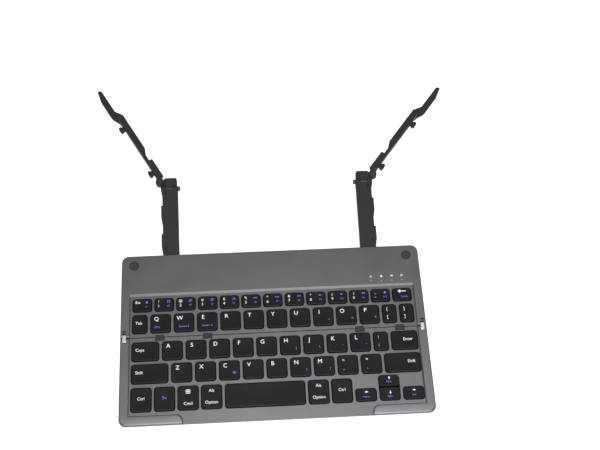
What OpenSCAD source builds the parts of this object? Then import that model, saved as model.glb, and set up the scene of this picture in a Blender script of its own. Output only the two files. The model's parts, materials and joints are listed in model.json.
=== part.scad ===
// Folding pocket keyboard. Two key-carrying halves fold shut on a double-axis hinge, and two
// jointed stand arms swing out from a bay under the rear half to hold a tablet.
// X runs to the right, Y away from the typist, Z up. The desk is z = 0, and the origin is the
// centre of the foot strip under the rear half.

/* [Case] */
// Width of the keyboard
case_w = 236.4; // [225:0.2:290]
// Depth of each half, from the seam to its outer edge
half_d = 69.9; // [69.9:0.1:90]
// Gap between the halves when open
seam_gap = 0.6; // [0.4:0.1:1.2]
// Plan radius of the four outer corners
corner_r = 5.5; // [2:0.5:10]
// Height of the bezel above the desk
top_z = 11; // [10.8:0.1:14]
// How far the upright rim around each half reaches below the deck plate
rim_below = 0.2; // [0.2:0.1:0.6]
// How far the belly draws in between the rim and its flat bottom
belly_inset = 4.5; // [0:0.5:6]
// Height of the rounding along the top's outer edges
edge_h = 1; // [0.4:0.1:1.2]
// Width of that rounding along the sides and the back
edge_w = 0.8; // [0.2:0.1:1]
// Width of that rounding along the typist's edge
front_edge_w = 2.2; // [0.5:0.1:2.6]
// Wall of the covers
wall = 1.1; // [0.9:0.1:1.2]
// Height of the rubber feet
foot_h = 1; // [0.6:0.1:1.4]
// Distance from the seam to the centre of the foot strip
foot_strip_y = 9; // [7:1:16]

/* [Key deck] */
// Depth of the sunken key deck below the bezel
deck_drop = 1.3; // [1:0.1:1.4]
// Half width of the key deck
deck_half_w = 111.5; // [111:0.1:112.4]
// Back edge of the key deck, from the seam
deck_back = 35; // [34.5:0.5:40]
// Width of the slope at the back of the deck
deck_slope = 1.6; // [0.6:0.1:3]
// Width of the groove between the deck and the bezel around it
groove_w = 0.5; // [0.3:0.1:0.8]
// Depth of that groove below the deck
groove_d = 0.5; // [0.2:0.1:0.6]
// Length of each front lip, from its inner end to the deck's side
lip_len = 40; // [20:1:60]
// Width of the front lips, measured to the outer edge
lip_w = 6.8; // [5:0.1:7.5]

/* [Keys] */
// Centre distance of the letter keys
key_pitch = 18; // [17:0.1:18]
// Space between neighbouring letter keys
key_space = 2.4; // [2.4:0.1:4]
// Depth of a key in the three letter rows
key_d = 15.6; // [13:0.1:15.7]
// Centre distance in the number row
num_pitch = 16.94; // [15.6:0.02:16.94]
// Width of a number key
num_w = 15; // [12:0.1:15]
// Depth of a number key
num_d = 11; // [8:0.1:11]
// Depth of the bottom row of keys
low_d = 19; // [16:0.1:19]
// Depth of the left, right and down arrow keys
arrow_d = 10.2; // [8:0.1:10.2]
// Corner radius of the keys
key_r = 2.6; // [1:0.1:3]
// Height of the key tops above the deck
key_rise = 1.4; // [1.3:0.1:1.5]
// How far a key goes down
key_travel = 1.2; // [0.8:0.1:1.2]
// Gap round a key in its hole
key_gap = 0.3; // [0.3:0.05:0.35]
// Width of the flange that holds a key under the deck
key_flange = 0.4; // [0.2:0.1:0.4]

/* [Hinge] */
// Distance of each hinge axis from the seam
axis_y = 2.5; // [2.4:0.1:2.6]
// Radius of the ends of the hinge links
link_r = 0.9; // [0.7:0.05:1]
// Width of the hinge links
link_w = 2.7; // [2:0.1:3]
// Distance of the hinge links in from the side of the case
link_inset = 3; // [2.9:0.1:3.2]
// Gap left between the two bezels when shut
shut_gap = 1; // [0.6:0.1:1.2]
// Height of the two round pads at the back corners
pad_h = 0.5; // [0.3:0.1:0.6]
// Diameter of the hinge pins
hinge_pin_d = 0.9; // [0.6:0.1:1]
// Width of the four tongues that cross the seam
tab_w = 6.8; // [4:0.1:8]
// Reach of the tongues over the seam
tab_reach = 2.5; // [1.5:0.1:2.6]

/* [Stand arms] */
// Distance of the arm pivots from the middle of the keyboard
pivot_x = 84; // [83.6:0.1:95]
// Distance of the arm pivots from the seam
pivot_y = 61.2; // [60:0.1:61.2]
// Thickness of the rails and blades
arm_t = 3.8; // [3.2:0.1:3.8]
// Height of the underside of the rails above the desk
arm_z = 2.4; // [2.4:0.1:2.6]
// Width of the rails
rail_w = 14.1; // [13:0.1:14.1]
// Distance from the pivot to the rail's outer edge
rail_out = 2.8; // [2.6:0.1:3]
// Distance from the pivot to the tilt pin at the rail's far end
tilt_y = 73.6; // [60:0.1:73.6]
// Spacing of the scallops along the rail's outer edge
scallop_pitch = 26.75; // [20:0.25:30]
// Distance from the tilt pin to the scallops' first step
scallop_first = 16.4; // [12:0.1:18]
// Depth of the scallops
scallop_d = 1.2; // [0.4:0.1:1.4]
// Distance along the arm from the tilt pin to the blade's pin
fold_y = 6.5; // [6:0.1:6.5]
// Distance of the blade's pin outside the pivot line
fold_x = 3.6; // [3.5:0.1:3.8]
// How far the folded blade's tip reaches past the rail's pivot
blade_over = 30.9; // [18:0.1:31.9]
// Width of the blade
blade_w = 5.6; // [4:0.1:5.6]
// Thickness of the blade's flat tip
tip_t = 1.6; // [1:0.1:1.7]
// Sideways step of the tip
tip_step = 3.4; // [2:0.1:3.6]
// Distance from the rail's pivot to the nearer of its two lug sockets
near_socket = 17.4; // [16:0.1:24]
// Outward lean of the rails
toe = 1; // [0:0.5:2]
// Outward splay of the left blade from its rail
left_splay = 28; // [0:1:45]
// Outward splay of the right blade from its rail
right_splay = 36; // [0:1:45]

/* [Hidden] */

round_fn = 48;   // facets of a true round
over = 1;        // how far a cut runs past a face
join = 0.01;     // how far joined shapes run into each other
body_gap = 0.3;  // gap between pieces that pass each other
run_fit = 0.05;  // radial clearance of a pin in its bore
seat_fit = 0.02; // clearance of a piece fixed in its seat

// ---- heights ----
deck_z = top_z - deck_drop;
deck_under = deck_z - wall;
rim_z = deck_under - rim_below;    // where the top and bottom covers meet
hump_under = top_z - wall;
floor_z = foot_h + wall;           // inside bottom of the belly
key_top = deck_z + key_rise;
flange_top = deck_under - body_gap;
flange_t = 0.7;
key_under = flange_top - flange_t;
mat_t = 0.6;
dome_clear = 0.4;                  // left under a pressed key
mat_z = key_under - key_travel - dome_clear - mat_t;
board_t = 0.8;
board_z = mat_z - board_t;
bay_z = arm_z + arm_t + body_gap;  // ceiling of the arm bay
bay_plate = 1;
bay_floor = bay_z + bay_plate;     // upper face of the plate over the bay
relief_z = arm_z + 0.1;            // the belly's lifted bottom over the swept blade tip
relief_gap = 1.5;                  // room past the blade's tip under that lift

// ---- plan ----
seam = seam_gap / 2;
case_x = case_w / 2;
outer_y = seam + half_d;
bay_y = deck_back - 0.5;           // front wall of the arm bay
relief_y = pivot_y - blade_over - relief_gap;
link_x = case_x - link_inset;
axis_z = top_z + shut_gap / 2 - axis_y;
slot_gap = 0.25;
hinge_block_x = deck_half_w + 0.4; // inner face of the solid that holds the hinge pins
hinge_block_y = 7;
hinge_block_drop = 1.8;            // how far the pin block reaches below the axis
notch_w = 2.8;                     // small pocket behind each link
notch_len = 1.5;
notch_back = 1.8;                  // from the hinge axis to the pocket
pin_in = 2.6;                      // reach of a hinge pin either side of its link
pin_out = 2.4;
inner_in = 1.2;                    // wall of the belly's sides
hinge_wall = 1.2;                  // of the case outside the pin block
belly_fit = 0.1;                   // between the belly's walls and what stands inside them
board_x = 109;
rear_board = [2.8, bay_y - inner_in - body_gap];
front_board = [9.6 - outer_y, -3.2];
rear_rib_ys = [4, 22];
front_rib_ys = [front_board[0] + 0.4, -5.2];
lip_in_x = deck_half_w - lip_len;
lip_r = 5;                         // radius at the lips' inner ends

tab_xs = [-87.95, -51.35, 66.15, 97.4];
pad_d = 8;
tab_t = 0.9;
tab_root = 2.4;
tab_edge = 1.85;
tab_root_h = 1.2;
relief_skin = 0.15;                // material left outside the rolling circle
pad_in_x = 9.9;                    // the pads' distance in from the sides and from the back
pad_in_y = 8.9;
foot_w = 6;
foot_r = 2.9;
strip_x = 60;                      // half the length of the rear foot strip
foot_x = 92;
foot_half = 10;
foot_y = -57;

// ---- keys ----
key_w = key_pitch - key_space;
num_y = 27;                        // centre of each row, from the seam
q_y = 11.15;
a_y = -11.6;
z_y = -29.7;
low_y = -50.1;
arrow_y = -54.3;
up_y = -43.9;
num_mid = 0.04;                    // x of the middle of each row's equal keys
q_mid = -6.35;
a_mid = -6.3;
z_mid = 0.7;
tab_key_w = 11.65;
bracket_w = 11.1;
caps_w = 20.8;
semicolon_w = 11.4;
enter_w = 20.4;
left_shift_w = 28;
right_shift_w = 27.5;
space_w = 60.25;
low_pitch = 17.55;                 // bottom row
low_x = -101.75;                   // its first key
space_x = -8.95;
right_alt_x = 31.2;
arrow_x = 84.6;                    // up and down keys
arrow_pitch = 18;
arrow_w = 15.8;
up_d = 9;
pair_r = 0.6;                      // corners where the up and down keys meet

q_xs = [for (i = [-4.5:4.5]) q_mid + i * key_pitch];
a_xs = [for (i = [-4:4]) a_mid + i * key_pitch];
z_xs = [for (i = [-4:4]) z_mid + i * key_pitch];
// Centre of a key of width w beside a key of width beside_w at x
function left_of(x, w, beside_w) = x - beside_w / 2 - key_space - w / 2;
function right_of(x, w, beside_w) = x + beside_w / 2 + key_space + w / 2;
bracket_x = right_of(q_xs[9], bracket_w, key_w);
semicolon_x = right_of(a_xs[8], semicolon_w, key_w);

// Each entry is [x centre, y centre, width, depth], and where they differ from key_r, the radii of
// the near and the far corners
esc = [[num_mid - 6 * num_pitch, num_y, num_w, num_d]];
numbers = [for (i = [-5:5]) [num_mid + i * num_pitch, num_y, num_w, num_d]];
backspace = [[num_mid + 6 * num_pitch, num_y, num_w, num_d]];
tab_k = [[left_of(q_xs[0], tab_key_w, key_w), q_y, tab_key_w, key_d]];
q_row = [for (x = q_xs) [x, q_y, key_w, key_d]];
bracket_l = [[bracket_x, q_y, bracket_w, key_d]];
bracket_r = [[right_of(bracket_x, bracket_w, bracket_w), q_y, bracket_w, key_d]];
caps = [[left_of(a_xs[0], caps_w, key_w), a_y, caps_w, key_d]];
a_row = [for (x = a_xs) [x, a_y, key_w, key_d]];
semicolon = [[semicolon_x, a_y, semicolon_w, key_d]];
enter = [[right_of(semicolon_x, enter_w, semicolon_w), a_y, enter_w, key_d]];
shift_l = [[left_of(z_xs[0], left_shift_w, key_w), z_y, left_shift_w, key_d]];
z_row = [for (x = z_xs) [x, z_y, key_w, key_d]];
shift_r = [[right_of(z_xs[8], right_shift_w, key_w), z_y, right_shift_w, key_d]];
ctrl_l = [[low_x, low_y, key_w, low_d]];
fn_k = [[low_x + low_pitch, low_y, key_w, low_d]];
command = [[low_x + 2 * low_pitch, low_y, key_w, low_d]];
alt_l = [[low_x + 3 * low_pitch, low_y, key_w, low_d]];
space = [[space_x, low_y, space_w, low_d]];
alt_r = [[right_alt_x, low_y, key_w, low_d]];
ctrl_r = [[right_alt_x + low_pitch, low_y, key_w, low_d]];
arrow_l = [[arrow_x - arrow_pitch, arrow_y, arrow_w, arrow_d]];
arrow_u = [[arrow_x, up_y, key_w, up_d, pair_r, key_r]];
arrow_dn = [[arrow_x, arrow_y, key_w, arrow_d, key_r, pair_r]];
arrow_r = [[arrow_x + arrow_pitch, arrow_y, arrow_w, arrow_d]];

rear_keys = concat(esc, numbers, backspace, tab_k, q_row, bracket_l, bracket_r);
front_keys = concat(caps, a_row, semicolon, enter, shift_l, z_row, shift_r, ctrl_l, fn_k,
    command, alt_l, space, alt_r, ctrl_r, arrow_l, arrow_u, arrow_dn, arrow_r);

dome_d = 5;
dome_gap = 0.7;
dome_h = 1.2;
pocket_z = mat_z + mat_t + dome_h + key_travel + body_gap;
flange_in = 2.8;                   // the flanges' ends, in from a key's corners

// Indicators
lens_xs = [78.45, 86.75, 95.05, 102.95];
lens_y = 39.55;
lens_d = 1;
lens_z = 9;
light_w = 1.6;
light_gap = 0.05;
light_board_t = 0.8;
light_board_x = [lens_xs[0] - 4, lens_xs[3] + 3];
light_board_y = [lens_y - 2, lens_y + 6];

// Screws
screw_d = 1.6;
screw_head_d = 2.8;
screw_head_h = 0.6;
screw_head_gap = 0.1;
screw_recess = 0.5;                // depth of the front screws' heads in the bottom
boss_d = 4.4;
front_screw_xs = [-96, -32, 32, 96];
front_screw_in = 7;                // the front screws' distance in from the outer edge
front_screw_y = front_screw_in - outer_y;
front_boss_z = floor_z + 2.2;      // where the bosses of the two front covers meet
rear_screws_at = [[-30, 66], [30, 66], [-112, 48], [112, 48]];
rear_bore_top = top_z - 0.5;       // tops of the screws' bores, and of the screws
rear_screw_top = hump_under - 0.2;
front_bore_top = deck_under - 0.4;
front_screw_top = deck_under - 0.8;

// Battery and ribs
battery_w = 90;
battery_d = 40;
battery_h = board_z - floor_z - body_gap;
battery_y = -32;
rib_t = 1.2;
battery_rib_x = battery_w / 2 + 1; // middle of the rib at each end of the battery
battery_rib_d = 36;

// Ports
port_y = 18;
port_size = [5.6, 7.5, 2.5];
port_shell = 0.35;
port_back = 0.6;
port_fit = 0.1;
port_rim = [0.8, 0.4];             // how much wider and taller the case opens outside the port
tongue_in = 0.8;                   // the contact tongue inside the port
tongue_w = 4;
tongue_t = 0.6;
port_face_x = case_x - 3.2;
switch_w = 3.6;
switch_h = 1.6;
switch_in = 3;                     // how far the slider reaches in and stands out
switch_out = 0.6;
switch_rim = 0.8;                  // how much wider the case opens outside the slider
switch_travel = 2;
switch_z = 3.4;

// Arms
rail_in = rail_w - rail_out;
rail_end_r = 4;
rail_corner_r = 2;
scallop_step_y = tilt_y - scallop_first;
scallops = floor(scallop_step_y / scallop_pitch);
scallop_land = 0.39 * scallop_pitch; // the straight part of each scallop, and its ramp
scallop_ramp = 0.36 * scallop_pitch;
arm_mid = arm_z + arm_t / 2;
arm_top = arm_z + arm_t;
nose_r = arm_t / 2;
ear_gap = [1.5, 7];                // span of the slot between the rail's two ears
tilt_pin_d = 2;
tilt_head_d = 3.8;
tilt_head_h = 2;
tilt_skin = 0.8;                   // wall left past the blind end of the tilt pin's bore
knuckle_y0 = 2.7;                  // start of the knuckle's block past the tilt pin
knuckle_y1 = 9.6;
knuckle_in = rail_in - 0.6;
knuckle_r = 2;
ear_lap = 0.1;                     // how far the blade's ears run into their blocks
eye_r = 3.4;
knuckle_side = -fold_x + eye_r + 0.4; // the block's outer side, clear of the blade's eye
fold_pin_d = 2.4;
fold_head_d = 4.2;
fold_head_h = 0.5;
eye_t = (arm_t - body_gap) / 2;
blade_y0 = 4.3;                    // where the blade's full thickness starts, from its pin
eye_y0 = 3.6;                      // where its upper half starts, past the knuckle's block
blade_in = 5.4;                    // distance from the pin line to the blade's inner side
first_lug = 11.2;
lug_w = 6;
lug_h = 2.2;
lug_out = 4;
lug_r = 1;
lug_neck = 1.2;                    // length of the lug's narrow neck
blade_len = tilt_y + fold_y + blade_over;
main_end = blade_len - 35;         // end of the blade's full thickness
tip_y0 = blade_len - 41.5;         // start of the thin tip
bend_in = [blade_len - 32.5, blade_len - 25.3];   // the tip's sideways bend, on each side
bend_out = [blade_len - 30, blade_len - 41.4];
tip_r = 2.4;
tip_slant = 11;                    // length of the tip's slanting outer side
tip_z = 0.5;
socket_gap = 0.4;
socket_in = 1;                     // extra room on the socket's far side, where the lug swings in
slit_w = 0.4;
slit_len = 4.8;
pivot_pin_d = 4;
pivot_head_d = 6.4;
pivot_head_h = 1;
pivot_boss_h = 1;
pivot_boss_wall = 1.6;
head_fit = 0.1;                    // clearance of a head in its recess
rail_foot_d = 6;
rail_foot_x = 7.2;                 // the rail's foot lies beside the pivot
neck_y = [23.1, 29, 36];           // the blade's finger notch: step, flat end and ramp end
neck_in = 2.7;

metal = [0.47, 0.46, 0.45];
black = [0.16, 0.16, 0.17];
steel = [0.78, 0.79, 0.8];
green = [0.1, 0.35, 0.2];

// ---- outlines ----
function arc(c, r, a0, a1, n) =
    [for (i = [0:n]) [c[0] + r * cos(a0 + (a1 - a0) * i / n), c[1] + r * sin(a0 + (a1 - a0) * i / n)]];
function round_rect(x0, x1, y0, y1, r, far_r, n = 5) =
    let (f = is_undef(far_r) ? r : far_r) concat(
        arc([x1 - r, y0 + r], r, -90, 0, n), arc([x1 - f, y1 - f], f, 0, 90, n),
        arc([x0 + f, y1 - f], f, 90, 180, n), arc([x0 + r, y0 + r], r, 180, 270, n));
// The outline of a key, grown by g
function key_outline(k, g = 0) = round_rect(k[0] - k[2] / 2 - g, k[0] + k[2] / 2 + g,
    k[1] - k[3] / 2 - g, k[1] + k[3] / 2 + g, is_undef(k[4]) ? key_r : k[4],
    is_undef(k[5]) ? key_r : k[5]);
// A half's outline: square at the seam, round at its two outer corners
function half_outline(inset, y0, y1) =
    let (r = max(corner_r - inset, 0.5), x = case_x - inset)
    concat([[-x, y0], [x, y0]], arc([x - r, y1 - r], r, 0, 90, 8), arc([r - x, y1 - r], r, 90, 180, 8));

module at_seam() translate([0, -foot_strip_y, 0]) children();
module front_side() mirror([0, 1, 0]) children();
module both_sides() for (side = [0, 1]) mirror([side, 0, 0]) children();
module slab(z0, z1) translate([0, 0, z0]) linear_extrude(z1 - z0) children();
module box(x0, x1, y0, y1, z0, z1) translate([x0, y0, z0]) cube([x1 - x0, y1 - y0, z1 - z0]);
module rod_x(r, x0, x1, y, z)
    translate([x0, y, z]) rotate([0, 90, 0]) cylinder(r = r, h = x1 - x0, $fn = round_fn);
module rod_z(r, x, y, z0, z1)
    translate([x, y, z0]) cylinder(r = r, h = z1 - z0, $fn = round_fn);

// ---- covers ----
// The upright rim of a half, rounded along the top; front_w is the rounding's width at its outer edge
module rim_solid(front_w) {
    slab(rim_z, top_z - edge_h) polygon(half_outline(0, seam, outer_y));
    hull() for (a = [0:18:90]) {
        z = top_z - edge_h * (1 - sin(a));
        in = 1 - cos(a);
        slab(z - join, z) polygon(half_outline(in * edge_w, seam, outer_y - in * front_w));
    }
}

// The front deck's outline with the finger notch between the lips, drawn in by g
function deck_outline(g) = let (r = lip_r, x = lip_in_x - g, y = outer_y - lip_w - g)
    concat([[deck_half_w - g, -over], [deck_half_w - g, y]],
        arc([x + r, y + r], r, 270, 180, 6), [[x, outer_y + over], [-x, outer_y + over]],
        arc([-x - r, y + r], r, 0, -90, 6), [[g - deck_half_w, y], [g - deck_half_w, -over]]);

// Everything that must not reach past the rolling circle round a hinge axis
module seam_relief() {
    difference() {
        box(-case_x - over, case_x + over, seam - over, axis_y, axis_z, top_z + over);
        rod_x(axis_y - relief_skin, -case_x - 2 * over, case_x + 2 * over, axis_y, axis_z);
    }
}

module key_holes(keys) {
    for (k = keys) slab(deck_under - over, top_z + over) polygon(key_outline(k, key_gap));
}

// Slots for the two hinge links
module link_slots() both_sides() translate([link_x, 0, 0])
    box(-link_w / 2 - slot_gap, link_w / 2 + slot_gap, -over, axis_y + link_r + slot_gap,
        axis_z - link_r - slot_gap, top_z + over);

// Small pocket in the bezel behind each link
module notches() both_sides() translate([link_x, axis_y + notch_back, 0])
    box(-notch_w / 2, notch_w / 2, 0, notch_len, axis_z, top_z + over);

module hinge_bores() both_sides()
    rod_x(hinge_pin_d / 2 + seat_fit, link_x - pin_in, link_x + pin_out, axis_y, axis_z);

module hinge_blocks() both_sides()
    box(hinge_block_x, case_x - inner_in - hinge_wall, seam + inner_in + belly_fit, hinge_block_y,
        axis_z - hinge_block_drop, rim_z + join);

module rear_top_cover() color(metal) at_seam() {
    difference() {
        union() {
            difference() {
                rim_solid(edge_w);
                // room over the keys and the sloped back of the deck
                box(-deck_half_w, deck_half_w, seam - over, deck_back, deck_z, top_z + over);
                hull() {
                    box(-deck_half_w, deck_half_w, deck_back - 0.1, deck_back, deck_z, deck_z + 0.1);
                    box(-deck_half_w, deck_half_w, deck_back - 0.1, deck_back + deck_slope,
                        top_z, top_z + over);
                }
                // hollow under the deck and under the hump
                box(-hinge_block_x, hinge_block_x, seam + inner_in, deck_back - 0.5,
                    rim_z - over, deck_under);
                box(-case_x + inner_in, case_x - inner_in, hinge_block_y, deck_back - 0.5, rim_z - over,
                    deck_under);
                slab(rim_z - over, hump_under) intersection() {
                    polygon(half_outline(inner_in, seam, outer_y - inner_in));
                    translate([-case_x, deck_back + 1]) square([case_w, half_d]);
                }
            }
            hinge_blocks();
            for (p = rear_screws_at) rod_z(boss_d / 2, p[0], p[1], bay_floor, hump_under + 0.1);
        }
        for (p = rear_screws_at)
            rod_z(screw_d / 2 + seat_fit, p[0], p[1], bay_floor - over, rear_bore_top);
        key_holes(rear_keys);
        seam_relief();
        link_slots();
        notches();
        hinge_bores();
        for (x = tab_xs) box(x - tab_w / 2, x + tab_w / 2, seam - over, tab_edge + seat_fit,
            deck_under - over, top_z);
        for (x = lens_xs) rod_z(lens_d / 2 + seat_fit, x, lens_y, hump_under - over, top_z + over);
        both_sides() box(deck_half_w - groove_w, deck_half_w, seam - over, deck_back, deck_z - groove_d,
            top_z);
    }
}

module front_top_cover() color(metal) at_seam() {
    difference() {
        union() {
            front_side() difference() {
                rim_solid(front_edge_w);
                slab(deck_z, top_z + over) polygon(deck_outline(0));
                slab(deck_z - groove_d, top_z) difference() {
                    polygon(deck_outline(0));
                    polygon(deck_outline(groove_w));
                }
                box(-hinge_block_x, hinge_block_x, seam + inner_in, outer_y - inner_in - belly_inset,
                    rim_z - over, deck_under);
                box(-case_x + inner_in, case_x - inner_in, hinge_block_y, outer_y - inner_in - belly_inset,
                    rim_z - over, deck_under);
            }
            front_side() hinge_blocks();
            for (x = front_screw_xs)
                rod_z(boss_d / 2, x, front_screw_y, front_boss_z, deck_under + 0.1);
        }
        for (x = front_screw_xs)
            rod_z(screw_d / 2 + seat_fit, x, front_screw_y, floor_z, front_bore_top);
        key_holes(front_keys);
        // one hole takes both the up and the down key
        box(arrow_u[0][0] - key_w / 2 - key_gap, arrow_u[0][0] + key_w / 2 + key_gap,
            arrow_y, up_y, deck_under - over, top_z);
        front_side() {
            seam_relief();
            link_slots();
            hinge_bores();
        }
        for (x = tab_xs) box(x - tab_w / 2 - body_gap, x + tab_w / 2 + body_gap,
            -tab_reach - body_gap - 0.1, -seam + over, rim_z - over, top_z);
    }
}

// A tapered tray, open at the top
module belly(y1, inset_y) {
    hull() {
        slab(rim_z - join, rim_z) polygon(half_outline(0, seam, y1));
        slab(foot_h, foot_h + join)
            polygon(half_outline(belly_inset, seam, y1 - inset_y));
    }
}

module belly_hollow(y1, inset_y) {
    hull() {
        slab(rim_z, rim_z + over)
            polygon(half_outline(inner_in, seam + inner_in, y1 - inner_in));
        slab(floor_z, floor_z + join)
            polygon(half_outline(belly_inset + inner_in, seam + inner_in, y1 - inner_in - inset_y));
    }
}

module rear_bottom_cover() color(metal) at_seam() {
    difference() {
        union() {
            difference() {
                intersection() {
                    belly(outer_y, belly_inset);
                    box(-case_x, case_x, seam, bay_y, foot_h, rim_z);
                }
                intersection() {
                    belly_hollow(outer_y, belly_inset);
                    box(-case_x, case_x, seam, bay_y - inner_in, floor_z, rim_z + over);
                }
                // lifted bottom over the path of the blade tips
                box(-case_x - over, case_x + over, relief_y, bay_y + over, foot_h - over, relief_z);
            }
            // the floor over that lifted bottom
            intersection() {
                belly(outer_y, belly_inset);
                box(-case_x, case_x, relief_y - wall, bay_y, relief_z, relief_z + wall);
            }
            // ribs that carry the circuit board
            for (y = rear_rib_ys) box(-board_x, board_x, y, y + rib_t, floor_z - join, board_z);
            // plate over the arm bay, with its rim
            slab(bay_z, bay_floor) intersection() {
                polygon(half_outline(0, seam, outer_y));
                translate([-case_x, bay_y - inner_in]) square([case_w, half_d]);
            }
            slab(bay_floor - join, rim_z) difference() {
                intersection() {
                    polygon(half_outline(0, seam, outer_y));
                    translate([-case_x, bay_y - inner_in]) square([case_w, half_d]);
                }
                intersection() {
                    polygon(half_outline(inner_in, seam, outer_y - inner_in));
                    translate([-case_x, bay_y]) square([case_w, half_d]);
                }
            }
            for (s = [-1, 1]) rod_z(pivot_pin_d / 2 + pivot_boss_wall, s * pivot_x, pivot_y,
                bay_floor - join, bay_floor + pivot_boss_h);
        }
        for (p = rear_screws_at) {
            rod_z(screw_d / 2 + screw_head_gap, p[0], p[1], bay_z - over, bay_floor + over);
            rod_z(screw_head_d / 2 + screw_head_gap, p[0], p[1], bay_z - over, bay_z + screw_head_h);
        }
        for (s = [-1, 1]) rod_z(pivot_pin_d / 2 + seat_fit, s * pivot_x, pivot_y, bay_z - over,
            bay_floor + pivot_boss_h + over);
        port_cut();
        switch_cut();
        link_slots();
    }
}

module front_bottom_cover() color(metal) at_seam() {
    difference() {
        union() {
            front_side() difference() {
                belly(outer_y, belly_inset);
                belly_hollow(outer_y, belly_inset);
            }
            for (y = front_rib_ys) box(-board_x, board_x, y, y + rib_t, floor_z - join, board_z);
            for (x = [-battery_rib_x, battery_rib_x]) box(x - rib_t / 2, x + rib_t / 2,
                battery_y - battery_rib_d / 2, battery_y + battery_rib_d / 2,
                floor_z - join, board_z);
            for (x = front_screw_xs)
                rod_z(boss_d / 2, x, front_screw_y, floor_z - join, front_boss_z);
        }
        for (x = front_screw_xs) {
            rod_z(screw_d / 2 + screw_head_gap, x, front_screw_y, foot_h - over, front_boss_z + over);
            rod_z(screw_head_d / 2 + screw_head_gap, x, front_screw_y, foot_h - over,
                foot_h + screw_recess + screw_head_h);
        }
        front_side() link_slots();
        for (x = tab_xs) box(x - tab_w / 2 - body_gap, x + tab_w / 2 + body_gap,
            -tab_reach - body_gap - 0.1, over, axis_z - 2.6, rim_z + over);
    }
}

module port_cut() {
    w = port_size[1] / 2;
    h = port_size[2];
    box(-case_x - over, -port_face_x, port_y - w - port_rim[0], port_y + w + port_rim[0],
        board_z - h - port_rim[1], board_z + port_rim[1]);
    box(-case_x - over, -port_face_x + port_size[0] + 2 * port_fit, port_y - w - port_fit,
        port_y + w + port_fit, board_z - h - port_fit, board_z);
}

module switch_cut() {
    y0 = port_y - switch_w / 2 - body_gap;
    y1 = port_y + switch_travel + switch_w / 2 + body_gap;
    h = switch_h / 2;
    box(port_face_x, case_x + over, y0 - switch_rim, y1 + switch_rim,
        switch_z - h - switch_rim, switch_z + h + switch_rim);
    box(port_face_x - switch_in - over, case_x + over, y0, y1,
        switch_z - h - body_gap, switch_z + h + body_gap);
}

// ---- inside the halves ----
module dome_mat(keys, ys) {
    box(-board_x, board_x, ys[0], ys[1], mat_z, mat_z + mat_t);
    for (k = keys) rod_z(dome_d / 2, k[0], k[1], mat_z + mat_t - join,
        mat_z + mat_t + dome_h);
}
module rear_dome_mat() color("gainsboro") at_seam() dome_mat(rear_keys, rear_board);
module front_dome_mat() color("gainsboro") at_seam() dome_mat(front_keys, front_board);
module rear_circuit_board() color(green) at_seam()
    box(-board_x, board_x, rear_board[0], rear_board[1], board_z, mat_z);
module front_circuit_board() color(green) at_seam()
    box(-board_x, board_x, front_board[0], front_board[1], board_z, mat_z);

module indicator_board() color(green) at_seam() {
    box(light_board_x[0], light_board_x[1], light_board_y[0], light_board_y[1], bay_floor,
        bay_floor + light_board_t);
    for (x = lens_xs) box(x - light_w / 2, x + light_w / 2, lens_y - light_w / 2,
        lens_y + light_w / 2, bay_floor + light_board_t - join, lens_z - light_gap);
}

module indicator_lenses() color("aliceblue") at_seam()
    for (x = lens_xs) rod_z(lens_d / 2, x, lens_y, lens_z, top_z);

module battery() color("silver") at_seam()
    box(-battery_w / 2, battery_w / 2, battery_y - battery_d / 2, battery_y + battery_d / 2,
        floor_z, floor_z + battery_h);

module charging_port() color(steel) at_seam() {
    x = -port_face_x;
    w = port_size[1] / 2;
    h = port_size[2];
    difference() {
        box(x, x + port_size[0], port_y - w, port_y + w, board_z - h, board_z);
        difference() {
            box(x - over, x + port_size[0] - port_back, port_y - w + port_shell,
                port_y + w - port_shell, board_z - h + port_shell, board_z - port_shell);
            box(x + tongue_in, x + port_size[0], port_y - tongue_w / 2, port_y + tongue_w / 2,
                board_z - h / 2 - tongue_t / 2, board_z - h / 2 + tongue_t / 2);
        }
    }
}

module power_switch_knob() color(black) at_seam()
    box(port_face_x - switch_in, port_face_x + switch_out, port_y - switch_w / 2,
        port_y + switch_w / 2, switch_z - switch_h / 2, switch_z + switch_h / 2);

// ---- on the halves ----
module closing_pads() color(black) at_seam()
    for (s = [-1, 1])
        rod_z(pad_d / 2, s * (case_x - pad_in_x), outer_y - pad_in_y, top_z, top_z + pad_h);

module seam_tabs() color(black) at_seam() for (x = tab_xs) {
    box(x - tab_w / 2 + seat_fit, x + tab_w / 2 - seat_fit, -tab_reach, tab_edge,
        deck_under, deck_under + tab_t);
    box(x - tab_w / 2 + seat_fit, x + tab_w / 2 - seat_fit, seam + inner_in + belly_fit, tab_root,
        deck_under - tab_root_h, deck_under);
}

module rear_foot_strip() color(black) at_seam()
    slab(0, foot_h) polygon(round_rect(-strip_x, strip_x, foot_strip_y - foot_w / 2,
        foot_strip_y + foot_w / 2, foot_r));

module front_feet() color(black) at_seam() for (s = [-1, 1])
    slab(0, foot_h) polygon(round_rect(s * foot_x - foot_half, s * foot_x + foot_half,
        foot_y - foot_w / 2, foot_y + foot_w / 2, foot_r));

module screw(z0, z1) {
    rod_z(screw_head_d / 2, 0, 0, z0, z0 + screw_head_h);
    rod_z(screw_d / 2, 0, 0, z0 + screw_head_h - join, z1);
}
module rear_screws() color(steel) at_seam()
    for (p = rear_screws_at) translate([p[0], p[1], 0])
        screw(bay_z, rear_screw_top);
module front_screws() color(steel) at_seam()
    for (x = front_screw_xs) translate([x, front_screw_y, 0])
        screw(foot_h + screw_recess, front_screw_top);

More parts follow.
